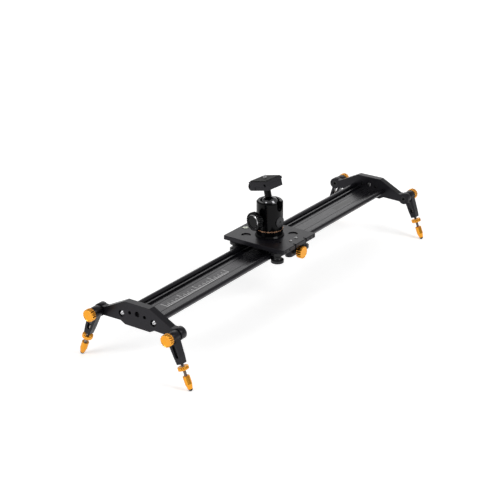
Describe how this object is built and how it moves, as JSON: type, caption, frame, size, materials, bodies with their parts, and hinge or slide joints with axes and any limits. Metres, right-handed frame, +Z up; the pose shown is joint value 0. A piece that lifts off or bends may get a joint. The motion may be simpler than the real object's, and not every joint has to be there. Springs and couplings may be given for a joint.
{
  "type": "camera slider",
  "caption": "Tabletop camera slider: black extruded rail on splayed screw-adjustable legs, roller carriage with brake and bubble level, and a ball head with a quick-release clamp.",
  "frame": {"origin": "on the ground under the middle of the rail", "axes": "+X along the rail, +Y to the back, away from the brake knob, +Z up"},
  "size_m": [0.7534, 0.2174, 0.2075],
  "materials": {
    "black_anodised": "satin black anodised",
    "gold_anodised": "satin gold anodised, knurled",
    "steel": "machined",
    "black_steel": "black oxide",
    "wheel_plastic": "turned acetal",
    "copper_ring": "polished",
    "nylon": "natural nylon",
    "rubber": "matte",
    "level_cup": "moulded",
    "level_lens": "clear, tinted liquid behind"
  },
  "bodies": {
    "rail_frame": {"rail": "black_anodised", "tripod_inserts": "steel", "end_plate_left": "black_anodised", "end_plate_right": "black_anodised", "end_plate_screws": "steel", "pivot_bolts": "black_steel", "leg_washers": "wheel_plastic"},
    "carriage": {"carriage_plate": "black_anodised", "preload_screws": "black_steel", "wheel_axles": "black_steel", "wheel_bearings": "steel", "brake_bracket": "black_anodised", "bracket_screws": "steel", "level_body": "level_cup", "level_lens": "level_lens", "head_stud": "steel", "head_base": "black_anodised", "pan_ring": "copper_ring"},
    "brake_knob": {"brake_knob": "gold_anodised"},
    "brake_pad": {"brake_pad": "nylon"},
    "pan_head": {"housing": "black_anodised", "ball_cup": "nylon"},
    "main_lock_knob": {"main_lock_knob": "black_anodised"},
    "pan_lock_knob": {"pan_lock_knob": "black_anodised"},
    "ball": {"ball": "steel"},
    "clamp": {"stem": "black_anodised", "clamp_body": "black_anodised"},
    "clamp_jaw": {"clamp_jaw": "black_anodised"},
    "clamp_knob": {"clamp_knob": "black_anodised"},
    "camera_plate": {"quick_release_plate": "black_anodised", "plate_pad": "rubber"},
    "camera_screw": {"camera_screw": "steel"},
    "wheel_front_left": {"wheel_front_left": "wheel_plastic"},
    "leg_front_left": {"leg_arm_front_left": "black_anodised"},
    "leg_lock_knob_front_left": {"leg_lock_knob_front_left": "gold_anodised"},
    "jam_nut_front_left": {"jam_nut_front_left": "gold_anodised"},
    "foot_front_left": {"foot_spindle_front_left": "steel", "foot_front_left": "gold_anodised", "foot_tip_front_left": "rubber"},
    "wheel_back_left": {"wheel_back_left": "wheel_plastic"},
    "leg_back_left": {"leg_arm_back_left": "black_anodised"},
    "leg_lock_knob_back_left": {"leg_lock_knob_back_left": "gold_anodised"},
    "jam_nut_back_left": {"jam_nut_back_left": "gold_anodised"},
    "foot_back_left": {"foot_spindle_back_left": "steel", "foot_back_left": "gold_anodised", "foot_tip_back_left": "rubber"},
    "wheel_front_right": {"wheel_front_right": "wheel_plastic"},
    "leg_front_right": {"leg_arm_front_right": "black_anodised"},
    "leg_lock_knob_front_right": {"leg_lock_knob_front_right": "gold_anodised"},
    "jam_nut_front_right": {"jam_nut_front_right": "gold_anodised"},
    "foot_front_right": {"foot_spindle_front_right": "steel", "foot_front_right": "gold_anodised", "foot_tip_front_right": "rubber"},
    "wheel_back_right": {"wheel_back_right": "wheel_plastic"},
    "leg_back_right": {"leg_arm_back_right": "black_anodised"},
    "leg_lock_knob_back_right": {"leg_lock_knob_back_right": "gold_anodised"},
    "jam_nut_back_right": {"jam_nut_back_right": "gold_anodised"},
    "foot_back_right": {"foot_spindle_back_right": "steel", "foot_back_right": "gold_anodised", "foot_tip_back_right": "rubber"}
  },
  "joints": [
    {"name": "carriage_slide", "type": "slide", "parent": "rail_frame", "child": "carriage", "axis": [1, 0, 0], "range_m": [-0.2917, 0.2837]},
    {"name": "wheel_spin_front_left", "type": "hinge", "parent": "carriage", "child": "wheel_front_left", "pos_m": [-0.0345, -0.0417, 0.0858], "axis": [0, 0, 1], "continuous": true},
    {"name": "leg_fold_front_left", "type": "hinge", "parent": "rail_frame", "child": "leg_front_left", "pos_m": [-0.359, -0.0745, 0.0795], "axis": [-1, 0, 0], "range_deg": [-70, 110]},
    {"name": "leg_lock_turn_front_left", "type": "hinge", "parent": "rail_frame", "child": "leg_lock_knob_front_left", "pos_m": [-0.3679, -0.0745, 0.0795], "axis": [-1, 0, 0], "range_deg": [0, 270]},
    {"name": "jam_nut_turn_front_left", "type": "hinge", "parent": "leg_front_left", "child": "jam_nut_front_left", "pos_m": [-0.359, -0.09155, 0.03731], "axis": [0, 0.3746, 0.9272], "continuous": true},
    {"name": "foot_screw_front_left", "type": "slide", "parent": "leg_front_left", "child": "foot_front_left", "axis": [0, -0.3746, -0.9272], "range_m": [-0.008, 0.006]},
    {"name": "wheel_spin_back_left", "type": "hinge", "parent": "carriage", "child": "wheel_back_left", "pos_m": [-0.0345, 0.0417, 0.0858], "axis": [0, 0, 1], "continuous": true},
    {"name": "leg_fold_back_left", "type": "hinge", "parent": "rail_frame", "child": "leg_back_left", "pos_m": [-0.359, 0.0745, 0.0795], "axis": [1, 0, 0], "range_deg": [-70, 110]},
    {"name": "leg_lock_turn_back_left", "type": "hinge", "parent": "rail_frame", "child": "leg_lock_knob_back_left", "pos_m": [-0.3679, 0.0745, 0.0795], "axis": [-1, 0, 0], "range_deg": [0, 270]},
    {"name": "jam_nut_turn_back_left", "type": "hinge", "parent": "leg_back_left", "child": "jam_nut_back_left", "pos_m": [-0.359, 0.09155, 0.03731], "axis": [0, -0.3746, 0.9272], "continuous": true},
    {"name": "foot_screw_back_left", "type": "slide", "parent": "leg_back_left", "child": "foot_back_left", "axis": [0, 0.3746, -0.9272], "range_m": [-0.008, 0.006]},
    {"name": "wheel_spin_front_right", "type": "hinge", "parent": "carriage", "child": "wheel_front_right", "pos_m": [0.0425, -0.0417, 0.0858], "axis": [0, 0, 1], "continuous": true},
    {"name": "leg_fold_front_right", "type": "hinge", "parent": "rail_frame", "child": "leg_front_right", "pos_m": [0.359, -0.0745, 0.0795], "axis": [-1, 0, 0], "range_deg": [-70, 110]},
    {"name": "leg_lock_turn_front_right", "type": "hinge", "parent": "rail_frame", "child": "leg_lock_knob_front_right", "pos_m": [0.3679, -0.0745, 0.0795], "axis": [1, 0, 0], "range_deg": [0, 270]},
    {"name": "jam_nut_turn_front_right", "type": "hinge", "parent": "leg_front_right", "child": "jam_nut_front_right", "pos_m": [0.359, -0.09155, 0.03731], "axis": [0, 0.3746, 0.9272], "continuous": true},
    {"name": "foot_screw_front_right", "type": "slide", "parent": "leg_front_right", "child": "foot_front_right", "axis": [0, -0.3746, -0.9272], "range_m": [-0.008, 0.006]},
    {"name": "wheel_spin_back_right", "type": "hinge", "parent": "carriage", "child": "wheel_back_right", "pos_m": [0.0425, 0.0417, 0.0858], "axis": [0, 0, 1], "continuous": true},
    {"name": "leg_fold_back_right", "type": "hinge", "parent": "rail_frame", "child": "leg_back_right", "pos_m": [0.359, 0.0745, 0.0795], "axis": [1, 0, 0], "range_deg": [-70, 110]},
    {"name": "leg_lock_turn_back_right", "type": "hinge", "parent": "rail_frame", "child": "leg_lock_knob_back_right", "pos_m": [0.3679, 0.0745, 0.0795], "axis": [1, 0, 0], "range_deg": [0, 270]},
    {"name": "jam_nut_turn_back_right", "type": "hinge", "parent": "leg_back_right", "child": "jam_nut_back_right", "pos_m": [0.359, 0.09155, 0.03731], "axis": [0, -0.3746, 0.9272], "continuous": true},
    {"name": "foot_screw_back_right", "type": "slide", "parent": "leg_back_right", "child": "foot_back_right", "axis": [0, 0.3746, -0.9272], "range_m": [-0.008, 0.006]},
    {"name": "brake_turn", "type": "hinge", "parent": "carriage", "child": "brake_knob", "pos_m": [0.007, -0.0578, 0.0848], "axis": [0, 1, 0], "range_deg": [0, 180]},
    {"name": "brake_pad_push", "type": "slide", "parent": "carriage", "child": "brake_pad", "axis": [0, 1, 0], "range_m": [0, 0.0005]},
    {"name": "pan_turn", "type": "hinge", "parent": "carriage", "child": "pan_head", "pos_m": [0.004, 0, 0.1163], "axis": [0, 0, 1], "continuous": true},
    {"name": "main_lock_turn", "type": "hinge", "parent": "pan_head", "child": "main_lock_knob", "pos_m": [-0.02328, 0.0063, 0.136], "axis": [-0.9744, 0.225, 0], "range_deg": [0, 120]},
    {"name": "pan_lock_turn", "type": "hinge", "parent": "pan_head", "child": "pan_lock_knob", "pos_m": [0.02522, 0.01225, 0.1225], "axis": [0.866, 0.5, 0], "range_deg": [0, 180]},
    {"name": "ball_roll", "type": "hinge", "parent": "pan_head", "child": "ball", "pos_m": [0.004, 0, 0.157], "axis": [0.0872, 0.9962, 0], "range_deg": [-25, 25]},
    {"name": "ball_pitch", "type": "hinge", "parent": "ball", "child": "clamp", "pos_m": [0.004, 0, 0.157], "axis": [0.9962, -0.0872, 0], "range_deg": [-11.5, 103.5]},
    {"name": "clamp_turn", "type": "hinge", "parent": "clamp", "child": "clamp_knob", "pos_m": [0.00652, 0.02875, 0.18298], "axis": [0.0847, 0.9687, -0.2334], "range_deg": [0, 720]},
    {"name": "clamp_jaw_open", "type": "slide", "parent": "clamp", "child": "clamp_jaw", "axis": [0.0847, 0.9687, -0.2334], "range_m": [0, 0.0025]},
    {"name": "camera_plate_slide", "type": "slide", "parent": "clamp", "child": "camera_plate", "axis": [0.9962, -0.0872, 0], "range_m": [-0.01, 0.01]},
    {"name": "camera_screw_turn", "type": "hinge", "parent": "camera_plate", "child": "camera_screw", "pos_m": [0.00471, 0.00817, 0.19118], "axis": [0.0203, 0.2326, 0.9724], "continuous": true}
  ],
  "couplings": [
    {"joint": "wheel_spin_front_left", "follows": "carriage_slide", "rad_per_m": 144.93},
    {"joint": "wheel_spin_back_left", "follows": "carriage_slide", "rad_per_m": -144.93},
    {"joint": "wheel_spin_front_right", "follows": "carriage_slide", "rad_per_m": 144.93},
    {"joint": "wheel_spin_back_right", "follows": "carriage_slide", "rad_per_m": -144.93},
    {"joint": "brake_turn", "follows": "brake_pad_push", "rad_per_m": 6283.2},
    {"joint": "clamp_turn", "follows": "clamp_jaw_open", "rad_per_m": 5026.5}
  ]
}
